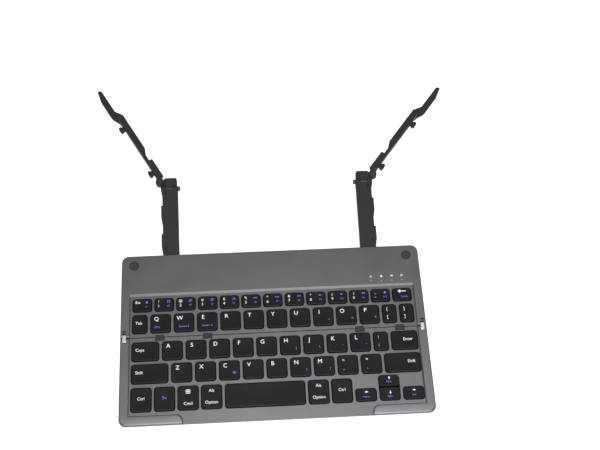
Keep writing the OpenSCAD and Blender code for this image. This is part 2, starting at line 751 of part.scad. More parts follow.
// ---- hinge ----
module hinge_links() color(steel) at_seam() for (s = [-1, 1]) difference() {
    union() {
        for (t = [-1, 1])
            rod_x(link_r, s * link_x - link_w / 2, s * link_x + link_w / 2, t * axis_y, axis_z);
        box(s * link_x - link_w / 2, s * link_x + link_w / 2, -axis_y, axis_y,
            axis_z - link_r, axis_z + link_r);
    }
    for (t = [-1, 1])
        rod_x(hinge_pin_d / 2 + run_fit, s * link_x - link_w, s * link_x + link_w,
            t * axis_y, axis_z);
}
module hinge_pins(y) both_sides()
    rod_x(hinge_pin_d / 2, link_x - pin_in, link_x + pin_out, y, axis_z);
module rear_hinge_pins() color(steel) at_seam() hinge_pins(axis_y);
module front_hinge_pins() color(steel) at_seam() hinge_pins(-axis_y);

// ---- stand arms, drawn for the left side with the pivot at the origin, +Y along the rail and
// ---- -X outward, then placed at each side ----
module arm(side) at_seam() translate([side * pivot_x, pivot_y, 0])
    mirror([side > 0 ? 1 : 0, 0, 0]) rotate([0, 0, toe]) children();
module on_blade(splay) translate([-fold_x, tilt_y + fold_y, 0]) rotate([0, 0, splay]) children();

// A soft sideways step of width dx between two places along Y
function bend(x, dx, y0, y1) =
    [for (i = [1:6]) [x + dx * (1 - cos(30 * i)) / 2, y0 + (y1 - y0) * i / 6]];

// The rail's outer edge is a row of shallow scallops, each ending in a step
function scallop(y) = concat([[-rail_out, y], [-rail_out, y - scallop_land]],
    bend(-rail_out, scallop_d, y - scallop_land, y - scallop_land - scallop_ramp),
    [[-rail_out + scallop_d, y - scallop_pitch]]);

module rail_shape() {
    polygon(concat(
        [[-rail_out, tilt_y]], bend(-rail_out, scallop_d, tilt_y, tilt_y - scallop_ramp),
        [[-rail_out + scallop_d, scallop_step_y]],
        [for (k = [0:scallops - 1]) each scallop(scallop_step_y - k * scallop_pitch)],
        [[-rail_out, scallop_step_y - scallops * scallop_pitch], [-rail_out, 0]],
        arc([0, 0], rail_end_r, 200, 270, 5),
        [[rail_in - rail_corner_r, -rail_end_r], [rail_in, -rail_end_r + rail_corner_r],
            [rail_in, tilt_y]]));
}

module rail() {
    lug_ys = [tilt_y + fold_y - first_lug, near_socket];
    difference() {
        union() {
            slab(arm_z, arm_top) rail_shape();
            rod_x(nose_r, -rail_out, rail_in, tilt_y, arm_mid);
        }
        // slot for the knuckle's tongue
        box(ear_gap[0], ear_gap[1], tilt_y - nose_r - body_gap,
            tilt_y + nose_r + over, arm_z - over, arm_top + over);
        rod_x(tilt_pin_d / 2 + seat_fit, -rail_out + tilt_skin, rail_in + over, tilt_y, arm_mid);
        rod_z(pivot_pin_d / 2 + run_fit, 0, 0, arm_z - over, arm_top + over);
        rod_z(pivot_head_d / 2 + head_fit, 0, 0, arm_z - over, arm_z + pivot_head_h + head_fit);
        for (y = lug_ys) {
            // socket for a lug, with the T-shaped slit that lets its lips spring
            box(-rail_out - over, -rail_out + lug_out + body_gap,
                y - lug_w / 2 - socket_gap - (y == lug_ys[0] ? socket_in : 0),
                y + lug_w / 2 + socket_gap,
                arm_mid - lug_h / 2 - body_gap, arm_mid + lug_h / 2 + body_gap);
            box(-rail_out - over, -rail_out + lug_out, y - slit_w / 2, y + slit_w / 2,
                arm_mid, arm_top + over);
            box(-rail_out + lug_out - slit_w / 2, -rail_out + lug_out + slit_w / 2,
                y - slit_len / 2, y + slit_len / 2, arm_mid, arm_top + over);
        }
    }
}

module rail_foot() rod_z(rail_foot_d / 2, rail_foot_x, 0, 0, arm_z);

module knuckle() difference() {
    union() {
        // tongue between the rail's two ears
        box(ear_gap[0] + body_gap, ear_gap[1] - body_gap, tilt_y, tilt_y + knuckle_y0 + join,
            arm_z, arm_top);
        rod_x(nose_r, ear_gap[0] + body_gap, ear_gap[1] - body_gap, tilt_y, arm_mid);
        slab(arm_z, arm_top) polygon(concat(
            [[knuckle_side, tilt_y + knuckle_y0], [knuckle_in, tilt_y + knuckle_y0]],
            arc([knuckle_in - knuckle_r, tilt_y + knuckle_y1 - knuckle_r], knuckle_r, 0, 90, 5),
            [[knuckle_side, tilt_y + knuckle_y1]]));
        // lower ear that carries the blade
        slab(arm_z, arm_z + eye_t) polygon([[knuckle_side + ear_lap, tilt_y + knuckle_y0],
            [-fold_x, tilt_y + fold_y - eye_r], [-fold_x, tilt_y + fold_y + eye_r],
            [knuckle_side + ear_lap, tilt_y + knuckle_y1]]);
        rod_z(eye_r, -fold_x, tilt_y + fold_y, arm_z, arm_z + eye_t);
    }
    rod_x(tilt_pin_d / 2 + run_fit, ear_gap[0], ear_gap[1], tilt_y, arm_mid);
    rod_z(fold_pin_d / 2 + seat_fit, -fold_x, tilt_y + fold_y, arm_z - over, arm_top + over);
    rod_z(fold_head_d / 2 + head_fit, -fold_x, tilt_y + fold_y, arm_z - over, arm_z + fold_head_h);
}

module tilt_pin() {
    rod_x(tilt_pin_d / 2, -rail_out + tilt_skin + 0.2, rail_in + join, tilt_y, arm_mid);
    rod_x(tilt_head_d / 2, rail_in, rail_in + tilt_head_h, tilt_y, arm_mid);
}

module fold_pin() {
    x = -fold_x;
    y = tilt_y + fold_y;
    rod_z(fold_pin_d / 2, x, y, arm_z + fold_head_h - join, arm_top - fold_head_h + join);
    rod_z(fold_head_d / 2, x, y, arm_z, arm_z + fold_head_h);
    rod_z(fold_head_d / 2, x, y, arm_top - fold_head_h, arm_top);
}

// The blade, drawn with its pin at the origin and -X towards the side with the lugs
module blade() {
    in = blade_in;
    out = blade_in - blade_w;
    step = tip_step;
    difference() {
        union() {
            slab(arm_z, arm_top) polygon(concat(
                [[in, blade_y0], [in, neck_y[0]], [in - neck_in, neck_y[0]],
                    [in - neck_in, neck_y[1]], [in, neck_y[2]], [in, main_end]],
                [[out, main_end], [out, blade_y0]]));
            // upper eye on the pin
            slab(arm_z + eye_t + body_gap, arm_top) polygon([[in, blade_y0 + ear_lap],
                [out, blade_y0 + 1], [-eye_r + ear_lap, 0.3], [eye_r, 0.3], [eye_r, eye_y0],
                [in, eye_y0]]);
            rod_z(eye_r, 0, 0, arm_z + eye_t + body_gap, arm_top);
            // lugs
            for (y = [first_lug, tilt_y + fold_y - near_socket]) {
                box(out - lug_out + lug_r, out + over, y - lug_w / 2 + lug_r, y + lug_w / 2 - lug_r,
                    arm_mid - lug_h / 2, arm_mid + lug_h / 2);
                slab(arm_mid - lug_h / 2, arm_mid + lug_h / 2) polygon(round_rect(out - lug_out,
                    out - lug_neck, y - lug_w / 2, y + lug_w / 2, lug_r));
            }
            // tip: a thin finger that steps down and sideways
            slab(tip_z, tip_z + tip_t) polygon(concat(
                [[out, tip_y0], [in, tip_y0], [in, bend_in[0]]],
                bend(in, -step, bend_in[0], bend_in[1]), [[in - step, blade_len - tip_r]],
                arc([in - step - tip_r, blade_len - tip_r], tip_r, 0, 110, 5),
                [[out - step, blade_len - tip_slant], [out - step, bend_out[0]]],
                bend(out - step, step, bend_out[0], bend_out[1])));
            slab(tip_z + tip_t - join, arm_z + join) polygon([[out, tip_y0], [in, tip_y0],
                [in, main_end], [out, main_end]]);
        }
        rod_z(fold_pin_d / 2 + run_fit, 0, 0, arm_z - over, arm_top + over);
        rod_z(fold_head_d / 2 + head_fit, 0, 0, arm_top - fold_head_h, arm_top + over);
    }
}

module arm_pivot_pins() color(steel) at_seam() for (s = [-1, 1])
    translate([s * pivot_x, pivot_y, 0]) {
        rod_z(pivot_pin_d / 2, 0, 0, arm_z + pivot_head_h - join, bay_floor + pivot_boss_h);
        rod_z(pivot_head_d / 2, 0, 0, arm_z, arm_z + pivot_head_h);
    }

module left_rail() color(black) arm(-1) rail();
module left_rail_foot() color(black) arm(-1) rail_foot();
module left_knuckle() color(black) arm(-1) knuckle();
module left_tilt_pin() color(steel) arm(-1) tilt_pin();
module left_fold_pin() color(steel) arm(-1) fold_pin();
module left_blade() color(black) arm(-1) on_blade(left_splay) blade();
module right_rail() color(black) arm(1) rail();
module right_rail_foot() color(black) arm(1) rail_foot();
module right_knuckle() color(black) arm(1) knuckle();
module right_tilt_pin() color(steel) arm(1) tilt_pin();
module right_fold_pin() color(steel) arm(1) fold_pin();
module right_blade() color(black) arm(1) on_blade(right_splay) blade();

// ---- keys ----
module keys(list) color(black) at_seam() for (k = list) difference() {
    union() {
        slab(key_under, key_top) polygon(key_outline(k));
        box(k[0] - k[2] / 2 - key_gap - key_flange, k[0] + k[2] / 2 + key_gap + key_flange,
            k[1] - k[3] / 2 + flange_in, k[1] + k[3] / 2 - flange_in, key_under, flange_top);
    }
    rod_z(dome_d / 2 + dome_gap, k[0], k[1], key_under - over, pocket_z);
}
module esc_key() keys(esc);
module number_keys() keys(numbers);
module backspace_key() keys(backspace);
module tab_key() keys(tab_k);
module q_row_keys() keys(q_row);
module left_bracket_key() keys(bracket_l);
module right_bracket_key() keys(bracket_r);
module caps_key() keys(caps);
module a_row_keys() keys(a_row);
module semicolon_key() keys(semicolon);
module enter_key() keys(enter);
module left_shift_key() keys(shift_l);
module z_row_keys() keys(z_row);
module right_shift_key() keys(shift_r);
module left_ctrl_key() keys(ctrl_l);
module fn_key() keys(fn_k);
module command_key() keys(command);
module left_alt_key() keys(alt_l);
module space_key() keys(space);
module right_alt_key() keys(alt_r);
module right_ctrl_key() keys(ctrl_r);
module left_arrow_key() keys(arrow_l);
module up_arrow_key() keys(arrow_u);
module down_arrow_key() keys(arrow_dn);
module right_arrow_key() keys(arrow_r);

rear_top_cover();
rear_bottom_cover();
rear_dome_mat();
rear_circuit_board();
indicator_board();
indicator_lenses();
charging_port();
power_switch_knob();
closing_pads();
seam_tabs();
rear_hinge_pins();
arm_pivot_pins();
rear_screws();
rear_foot_strip();
hinge_links();
front_top_cover();
front_bottom_cover();
front_dome_mat();
front_circuit_board();
battery();
front_hinge_pins();
front_screws();
front_feet();
left_rail();
left_rail_foot();
left_knuckle();
left_tilt_pin();
left_fold_pin();
left_blade();
right_rail();
right_rail_foot();
right_knuckle();
right_tilt_pin();
right_fold_pin();
right_blade();
esc_key();
number_keys();
backspace_key();
tab_key();
q_row_keys();
left_bracket_key();
right_bracket_key();
caps_key();
a_row_keys();
semicolon_key();
enter_key();
left_shift_key();
z_row_keys();
right_shift_key();
left_ctrl_key();
fn_key();
command_key();
left_alt_key();
space_key();
right_alt_key();
right_ctrl_key();
left_arrow_key();
up_arrow_key();
down_arrow_key();
right_arrow_key();
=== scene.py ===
import json
import math

import bmesh
import bpy
from mathutils import Matrix, Vector


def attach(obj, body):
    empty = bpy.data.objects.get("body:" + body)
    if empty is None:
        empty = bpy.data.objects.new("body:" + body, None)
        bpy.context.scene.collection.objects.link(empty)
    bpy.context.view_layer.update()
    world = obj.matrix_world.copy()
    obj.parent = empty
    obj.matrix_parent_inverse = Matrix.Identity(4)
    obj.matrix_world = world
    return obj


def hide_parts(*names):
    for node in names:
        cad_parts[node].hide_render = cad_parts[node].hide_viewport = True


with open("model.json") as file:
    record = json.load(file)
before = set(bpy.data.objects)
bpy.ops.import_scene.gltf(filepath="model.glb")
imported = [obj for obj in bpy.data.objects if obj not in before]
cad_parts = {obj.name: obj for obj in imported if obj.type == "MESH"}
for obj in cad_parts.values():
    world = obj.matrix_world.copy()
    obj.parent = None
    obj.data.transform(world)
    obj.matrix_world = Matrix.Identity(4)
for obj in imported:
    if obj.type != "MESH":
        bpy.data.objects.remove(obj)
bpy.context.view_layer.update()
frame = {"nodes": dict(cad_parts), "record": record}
scene = bpy.context.scene

# A folding keyboard, open, with its two stand arms swung out behind it: painted casing halves,
# printed keycaps, black arms and pins, and rubber, metal and electronics underneath and inside.
# Sizes are in millimetres, turned to metres by MM where a mesh is made.
MM = 0.001
SEAM_Y = -9.0           # the seam between the halves, in the row's frame
TOP_Z = 11.0            # bezel
DECK_Z = 9.7            # sunken key deck
KEY_TOP_Z = 11.1
NEAR = 0.01             # how close two places are to count as one
UPWARD = 0.99           # a flat top's normal points up by more than this


# ---- Camera -----------------------------------------------------------------------------------
CAMERA_AT = (-14.8, -342.8, 794.4)
CAMERA_AIM = (25.1, 83.4, TOP_Z)
CAMERA_ROLL = math.radians(2.4)
LENS_LENGTH = 66.0
NEAREST = 10.0          # what is closer to the camera isn't drawn


def place_camera():
    """Looks down at the keys from in front, a little from the left."""
    camera = bpy.data.objects.new("camera", bpy.data.cameras.new("camera"))
    scene.collection.objects.link(camera)
    camera.data.lens = LENS_LENGTH
    camera.data.clip_start = NEAREST * MM
    at = Vector(CAMERA_AT) * MM
    look = (Vector(CAMERA_AIM) * MM - at).to_track_quat("-Z", "Y").to_matrix().to_4x4()
    camera.matrix_world = Matrix.Translation(at) @ look @ Matrix.Rotation(CAMERA_ROLL, 4, "Z")
    scene.camera = camera


# ---- Materials --------------------------------------------------------------------------------
def linear(hexcode):
    """An sRGB hex colour as linear RGBA."""
    parts = [int(hexcode[i:i + 2], 16) / 255 for i in (1, 3, 5)]
    return [c / 12.92 if c <= 0.04045 else ((c + 0.055) / 1.055) ** 2.4 for c in parts] + [1.0]


def add(tree, kind, links=(), inputs=(), **fields):
    """Adds a node: its own fields, then its inputs as (name, value), then its links as
    (input name, other node, that node's output)."""
    made = tree.nodes.new(kind)
    for name, value in fields.items():
        setattr(made, name, value)
    for name, value in inputs:
        made.inputs[name].default_value = value
    for name, other, output in links:
        tree.links.new(other.outputs[output], made.inputs[name])
    return made


CLOUD = 30              # width of the broad clouds in a finish
CLOUD_SPAN = (0.3, 0.7)         # what most of the broad noise lies between
GRAIN_SPAN = (0.35, 0.65)       # and most of the fine noise


def surface(name, color, metallic=0.0, roughness=0.5, ior=1.5, shine=0.5, grain=0.4, bump=0.0,
            mottle=0.0, gloss_spread=0.0, flecks=0.0):
    """A finish. shine is the specular level, grain the size in mm of its texture, bump the
    texture's height in mm, mottle how far the colour wanders, gloss_spread how far the roughness
    does, and flecks how much single grains stand out."""
    material = bpy.data.materials.new(name)
    material.use_nodes = True
    tree = material.node_tree
    shader = tree.nodes["Principled BSDF"]
    for socket, value in (("Metallic", metallic), ("Roughness", roughness), ("IOR", ior),
                          ("Specular IOR Level", shine), ("Base Color", linear(color))):
        shader.inputs[socket].default_value = value
    place = add(tree, "ShaderNodeTexCoord")
    fine = add(tree, "ShaderNodeTexNoise", [("Vector", place, "Object")],
               [("Scale", 1 / (grain * MM)), ("Detail", 2.0), ("Roughness", 0.6)])
    broad = add(tree, "ShaderNodeTexNoise", [("Vector", place, "Object")],
                [("Scale", 1 / (CLOUD * MM)), ("Detail", 3.0)])
    if mottle or flecks:
        cloud = add(tree, "ShaderNodeMapRange", [("Value", broad, "Fac")],
                    [("From Min", CLOUD_SPAN[0]), ("From Max", CLOUD_SPAN[1]),
                     ("To Min", 1 - mottle), ("To Max", 1 + mottle)])
        fleck = add(tree, "ShaderNodeMapRange", [("Value", fine, "Fac")],
                    [("From Min", GRAIN_SPAN[0]), ("From Max", GRAIN_SPAN[1]),
                     ("To Min", 1 - flecks), ("To Max", 1 + flecks)])
        both = add(tree, "ShaderNodeMath", [(0, cloud, "Result"), (1, fleck, "Result")],
                   operation="MULTIPLY")
        paint = add(tree, "ShaderNodeVectorMath", [("Scale", both, "Value")],
                    [(0, linear(color)[:3])], operation="SCALE")
        tree.links.new(paint.outputs["Vector"], shader.inputs["Base Color"])
    if gloss_spread:
        gloss = add(tree, "ShaderNodeMapRange", [("Value", broad, "Fac")],
                    [("From Min", CLOUD_SPAN[0]), ("From Max", CLOUD_SPAN[1]),
                     ("To Min", roughness - gloss_spread), ("To Max", roughness + gloss_spread)])
        tree.links.new(gloss.outputs["Result"], shader.inputs["Roughness"])
    if bump:
        relief = add(tree, "ShaderNodeBump", [("Height", fine, "Fac")],
                     [("Distance", bump * MM), ("Strength", 1.0)])
        tree.links.new(relief.outputs["Normal"], shader.inputs["Normal"])
    return material


# Sprayed metallic paint over moulded ABS: a soft broad highlight with fine bright flakes. The
# flakes are about 0.05 mm; they are drawn 0.3 mm wide, so that they show.
CASING = surface("metallic_grey_paint", "#555457", metallic=0.75, roughness=0.38, grain=0.3,
                 bump=0.002, mottle=0.03, gloss_spread=0.04, flecks=0.05)
# Painted shade: a dark, dull colour on the floors of the narrow gaps, standing in for the shade
# down there.
GAP_SHADE_PAINT = surface("bare_dark_abs", "#2e2e30", roughness=0.6, grain=0.3, mottle=0.05)
# Moulded ABS keycaps with a soft-touch coat: nearly black, with a faint broad sheen.
KEYCAP = surface("satin_black_abs", "#0e0e12", roughness=0.45, ior=1.46, shine=0.12, grain=0.25,
                 bump=0.002, mottle=0.08, gloss_spread=0.05, flecks=0.06)
# Pad-printed inks lie a little proud of the key and have no gloss.
WHITE_INK = surface("white_pad_print_ink", "#cbccd0", roughness=0.6, mottle=0.02)
VIOLET_INK = surface("blue_violet_pad_print_ink", "#6462cc", roughness=0.6, mottle=0.03)
DIM_INK = surface("grey_violet_pad_print_ink", "#77798f", roughness=0.6, mottle=0.03)
BLUE_INK = surface("bright_blue_pad_print_ink", "#4d78e6", roughness=0.6, mottle=0.03)
# Glass-filled nylon from a spark-eroded mould: matt black with a fine even grain.
ARM = surface("matt_black_glass_filled_nylon", "#1a191a", roughness=0.52, shine=0.3, grain=0.35,
              bump=0.006, mottle=0.08, gloss_spread=0.06, flecks=0.08)
# Nickel-plated steel: a bright, slightly blurred mirror.
LINK = surface("bright_nickel_plated_steel", "#b0aeae", metallic=1.0, roughness=0.34,
               gloss_spread=0.05)
# Turned stainless steel.
PIN = surface("turned_stainless_steel", "#b9b9bb", metallic=1.0, roughness=0.32, bump=0.001,
              gloss_spread=0.06)
# Black oxide on steel: dark, with a low metal sheen.
BLACK_PIN = surface("black_oxide_steel", "#2e2d2f", metallic=0.5, roughness=0.4,
                    gloss_spread=0.06, mottle=0.05)
# Moulded rubber: dull, with a slightly dusty grain.
RUBBER = surface("moulded_black_rubber", "#201e21", roughness=0.7, ior=1.52, shine=0.35, grain=0.5,
                 bump=0.01, mottle=0.06, flecks=0.08)
# Moulded acetal: smooth and waxy.
TAB = surface("satin_black_acetal", "#1c1c1f", roughness=0.45, shine=0.25, mottle=0.05,
              gloss_spread=0.05)
# Silicone rubber, smoky and dark in the gaps between the keys.
MAT = surface("smoky_silicone", "#545456", roughness=0.5, ior=1.43, mottle=0.03)
# Solder mask over copper: glossy green.
BOARD = surface("green_solder_mask", "#1d5a34", roughness=0.3, grain=0.8, flecks=0.08)
# Laminated pouch foil.
FOIL = surface("battery_pouch_foil", "#b8babd", metallic=0.9, roughness=0.4, mottle=0.04,
               gloss_spread=0.08)
# Smoked light pipes of the indicators.
LIGHT_PIPE = surface("smoked_clear_acrylic", "#7d7f84", roughness=0.3, ior=1.49, mottle=0.03)
# Tin plate of the charging port's shell.
SHELL = surface("tin_plated_steel", "#cfcfd2", metallic=1.0, roughness=0.3, gloss_spread=0.06)


# ---- Meshes -----------------------------------------------------------------------------------
BODY_OF = {node: body for body, nodes in frame["record"]["behaviour"]["bodies"].items()
           for node in nodes}
WELD = 0.002            # points closer than this are one
COPLANAR = 1            # degrees; faces that meet by less are one face
FLAT_AREA = 6.0         # mm2; a larger face is shaded flat
GENTLE = (0.3, 10.0)    # degrees between two facets of one curve
PIECE_SHARP = 30        # degrees; the edges of small pieces are rounded where they are sharper
CRISP = 35              # degrees; smooth shading ends at sharper edges


def merged(node):
    """The CAD mesh of a node as a bmesh of whole flat faces."""
    work = bmesh.new()
    work.from_mesh(frame["nodes"][node].data)
    bmesh.ops.remove_doubles(work, verts=work.verts, dist=WELD * MM)
    bmesh.ops.dissolve_limit(work, angle_limit=math.radians(COPLANAR), verts=work.verts,
                             edges=work.edges)
    return work


def is_flat(face):
    """Whether a face is no facet of a curve: it is large, and no neighbour meets it gently."""
    gentle = [e for e in face.edges if len(e.link_faces) == 2
              and GENTLE[0] < math.degrees(e.calc_face_angle(0)) < GENTLE[1]]
    return not gentle and face.calc_area() > FLAT_AREA * MM * MM


def publish(name, work, materials, node, replaced=True, smooth_angle=CRISP):
    """Turns a bmesh into a piece that rides and is finished as a CAD node is. Edges sharper than
    smooth_angle stay crisp."""
    work.faces.ensure_lookup_table()
    flat = [is_flat(face) for face in work.faces]
    mesh = bpy.data.meshes.new(name)
    work.to_mesh(mesh)
    work.free()
    mesh.shade_smooth()
    mesh.set_sharp_from_angle(angle=math.radians(smooth_angle))
    for material in materials:
        mesh.materials.append(material)
    piece = bpy.data.objects.new(name, mesh)
    scene.collection.objects.link(piece)
    # large faces keep their own normals, so that only the narrow roundings look round
    flatten = piece.modifiers.new("flat_faces", "WEIGHTED_NORMAL")
    flatten.keep_sharp = True
    flatten.weight = 100
    graph = bpy.context.evaluated_depsgraph_get()
    piece.data = bpy.data.meshes.new_from_object(piece.evaluated_get(graph))
    piece.modifiers.clear()
    bpy.data.meshes.remove(mesh)
    piece.data.name = name
    normals = [tuple(corner.vector) for corner in piece.data.corner_normals]
    for polygon in piece.data.polygons:
        if flat[polygon.index]:
            for corner in polygon.loop_indices:
                normals[corner] = tuple(polygon.normal)
    piece.data.normals_split_custom_set(normals)
    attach(piece, BODY_OF[node])
    if replaced:
        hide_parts(node)


def round_edges(work, width, segments, angle, chosen=None):
    """Rounds the edges sharper than an angle, or those of them that a test chooses."""
    edges = [e for e in work.edges if len(e.link_faces) == 2
             and e.calc_face_angle(0) > math.radians(angle) and (chosen is None or chosen(e))]
    bmesh.ops.bevel(work, geom=edges, offset=width * MM, offset_type="OFFSET",
                    segments=segments, profile=0.5, affect="EDGES", clamp_overlap=True)


def eased(node, name, material, width):
    """A moulded or turned piece: the CAD shape with its sharp edges rounded."""
    work = merged(node)
    round_edges(work, width, 3, PIECE_SHARP)
    publish(name, work, [material], node)


def finish_node(node, material):
    """Gives a CAD node that keeps its own mesh its finish."""
    for slot in frame["nodes"][node].material_slots:
        slot.material = material


# ---- Casing -----------------------------------------------------------------------------------
LIP_BACK = -72.4        # where the lips of the front edge begin
FRONT_Y = -79.2         # the front edge
CROWN_DROP = 0.5        # how far the lips fall away towards it
CROWN_CUTS = 6
CUT_NEAR = 0.0001       # a point closer to a cut lies on it
LIP_LOW = DECK_Z + 0.1  # of the lips, what lies higher falls away
GROOVE_DEPTH = 0.5
GROOVE_X = 111.0        # deck side of the groove along the bezel
LIP_GROOVE_Y = -71.9    # and along the lips
LIP_GROOVE_X = 71.0     # and at their inner ends
LIP_CORNER = 5.0        # radius there
GROOVE_MORE = 0.3       # how much wider the groove reads for its rounded deck side
LIP_GROOVE_MORE = 0.45


def crown_lips(work):
    """Lets the front edge fall away in a soft curve."""
    for step in range(1, CROWN_CUTS):
        y = LIP_BACK - (LIP_BACK - FRONT_Y) * step / CROWN_CUTS
        tops = [f for f in work.faces if f.normal.z > UPWARD
                and f.calc_center_median().z / MM > TOP_Z - NEAR]
        cut = tops + list({e for f in tops for e in f.edges}) + list(
            {v for f in tops for v in f.verts})
        bmesh.ops.bisect_plane(work, geom=cut, plane_co=(0, y * MM, 0), plane_no=(0, 1, 0),
                               dist=CUT_NEAR * MM)
    for vert in work.verts:
        share = (LIP_BACK - vert.co.y / MM) / (LIP_BACK - FRONT_Y)
        if share > 0 and vert.co.z / MM > LIP_LOW:
            vert.co.z -= CROWN_DROP * share * share * MM


def widen_groove(work):
    """Draws the deck back from the groove round it, as its rounded edge does."""
    corners = [v for v in work.verts
               if DECK_Z - GROOVE_DEPTH - NEAR < v.co.z / MM < DECK_Z + NEAR]
    by_lip = {(round(v.co.x / MM, 2), round(v.co.y / MM, 2)) for v in corners
              if v.co.z / MM > DECK_Z - NEAR and v.co.y / MM < LIP_GROOVE_Y + NEAR
              and abs(v.co.x / MM) > LIP_GROOVE_X - NEAR}
    for vert in corners:
        x, y = vert.co.x / MM, vert.co.y / MM
        if abs(abs(x) - GROOVE_X) < NEAR:
            vert.co.x -= math.copysign(GROOVE_MORE * MM, x)
        if (round(x, 2), round(y, 2)) in by_lip:
            if abs(x) < LIP_GROOVE_X + LIP_CORNER + NEAR:
                vert.co.x -= math.copysign(LIP_GROOVE_MORE * MM, x)
            if y > LIP_GROOVE_Y - LIP_CORNER - NEAR:
                vert.co.y += LIP_GROOVE_MORE * MM


GAP_FLOORS = (8.9, DECK_Z - 0.3)        # heights that only the floors of gaps lie between
SLOPE_EDGE = 0.6        # rounding where the slope behind the keys meets the bezel
SLOPE_BEND = (30, 45)   # degrees; the one bend up there that is so blunt
CASE_EDGE = 0.12        # rounding of the casing's other edges
CASE_SHARP = 40         # degrees; blunter bends stay as they are


def cover(node, name):
    """A case half: edges eased, and the floors of the gaps round the deck and of the hinge pockets
    painted dark as painted shade.
    """
    work = merged(node)
    if node.endswith("top_cover"):
        widen_groove(work)
    if node == "front_top_cover":
        crown_lips(work)
    for face in work.faces:
        height = face.calc_center_median().z / MM
        # the floors of the gaps get the dark painted shade
        if face.normal.z > UPWARD and GAP_FLOORS[0] < height < GAP_FLOORS[1]:
            face.material_index = 1
    round_edges(work, SLOPE_EDGE, 4, SLOPE_BEND[0],
                lambda e: min(v.co.z for v in e.verts) / MM > TOP_Z - NEAR
                and math.degrees(e.calc_face_angle(0)) < SLOPE_BEND[1])
    round_edges(work, CASE_EDGE, 2, CASE_SHARP)
    publish(name, work, [CASING, GAP_SHADE_PAINT], node)


# ---- Keys -------------------------------------------------------------------------------------
KEY_EDGE = 0.7          # rounding of a key's upper edge
KEY_SHARP = 60          # degrees; the edge itself, not the facets of its round corners
KEY_CRISP = 50          # degrees; as CRISP
KEY_TOP_LOW = KEY_TOP_Z - 0.05  # the top's face and edge lie higher
DISH = 0.16             # depth of the hollow in a key's top
DISH_RINGS = (0.92, 0.78, 0.6, 0.4, 0.2)        # sizes over the rim's
SIDE_PIECE = 2.5        # longest stretch of a ring's side
HOMING_KEYS = (3, 6)    # F and J, counted in their row
BAR_AT = (-0.7, -3.75)  # a homing bar's place, from the key's centre
BAR_HALF = 1.5          # half its length between the centres of its round ends
BAR_RADIUS = 0.28
BAR_HEIGHT = 0.2
BAR_SIDES = 8           # facets of each round end
BAR_LEVELS = ((1.0, -0.1), (1.0, 0.5 * BAR_HEIGHT), (0.75, 0.85 * BAR_HEIGHT),
              (0.35, BAR_HEIGHT))       # share of its radius, and height there
KEY_BOXES = {}          # centres and half sizes of the key tops of each node
KEY_NODES = [node for node in frame["nodes"] if node.endswith(("_key", "_keys"))]


def key_tops(work):
    """The flat top faces of a key node, from left to right."""
    tops = [f for f in work.faces if f.normal.z > UPWARD
            and f.calc_center_median().z / MM > KEY_TOP_LOW]
    return sorted(tops, key=lambda f: f.calc_center_median().x)


def top_box(face):
    """Centre and half sizes of a key's top, in mm."""
    xs = [v.co.x / MM for v in face.verts]
    ys = [v.co.y / MM for v in face.verts]
    return ((min(xs) + max(xs)) / 2, (min(ys) + max(ys)) / 2,
            (max(xs) - min(xs)) / 2, (max(ys) - min(ys)) / 2)


def dish_z(box, x, y):
    """Height of a key's hollow top at a place, in mm."""
    u = min(abs(x - box[0]) / (box[2] - KEY_EDGE), 1)
    v = min(abs(y - box[1]) / (box[3] - KEY_EDGE), 1)
    return KEY_TOP_Z - DISH * (1 - u * u) * (1 - v * v)


def split_sides(face):
    """Cuts the long sides of a key's top up, so that the hollow can follow them."""
    for edge in [e for e in face.edges if e.calc_length() > SIDE_PIECE * MM]:
        near = edge.verts[0]
        for left in range(math.ceil(edge.calc_length() / (SIDE_PIECE * MM)), 1, -1):
            near = bmesh.utils.edge_split(edge, near, 1 / left)[1]


def bridge(work, ring, next_ring):
    """Faces between two rings that have as many points."""
    for i in range(len(ring)):
        j = (i + 1) % len(ring)
        work.faces.new((ring[i], ring[j], next_ring[j], next_ring[i]))


def hollow(work, face, box):
    """Replaces a key's flat top with rings that sink to its middle."""
    split_sides(face)
    ring = list(face.verts)
    rim = [(v.co.x / MM, v.co.y / MM) for v in ring]
    work.faces.remove(face)
    for scale in DISH_RINGS:
        inner = []
        for x, y in rim:
            x = box[0] + (x - box[0]) * scale
            y = box[1] + (y - box[1]) * scale
            inner.append(work.verts.new(Vector((x, y, dish_z(box, x, y))) * MM))
        bridge(work, ring, inner)
        ring = inner
    work.faces.new(ring)


def keycaps(node):
    """The keycaps of a node: rounded upper edges and hollow tops."""
    work = merged(node)
    KEY_BOXES[node] = [top_box(f) for f in key_tops(work)]
    round_edges(work, KEY_EDGE, 4, KEY_SHARP,
                lambda e: min(v.co.z for v in e.verts) / MM > KEY_TOP_LOW)
    for face, box in zip(key_tops(work), KEY_BOXES[node]):
        hollow(work, face, box)
    if node == "a_row_keys":
        for index in HOMING_KEYS:
            homing_bar(work, KEY_BOXES[node][index])
    publish(node.replace("_key", "_keycap"), work, [KEYCAP], node,
            smooth_angle=KEY_CRISP)


def homing_bar(work, box):
    """A low rounded bar that the finger finds."""
    x, y = box[0] + BAR_AT[0], box[1] + BAR_AT[1]
    z = dish_z(box, x, y)
    rings = []
    for scale, rise in BAR_LEVELS:
        radius = BAR_RADIUS * scale
        ring = []
        for i in range(2 * BAR_SIDES):
            turn = math.pi * (i + 0.5) / BAR_SIDES
            end = math.copysign(BAR_HALF, math.cos(turn))
            place = Vector((x + end + radius * math.cos(turn), y + radius * math.sin(turn),
                            z + rise))
            ring.append(work.verts.new(place * MM))
        rings.append(ring)
    for low, high in zip(rings, rings[1:]):
        bridge(work, low, high)
    work.faces.new(rings[-1])
    work.faces.new(rings[0][::-1])


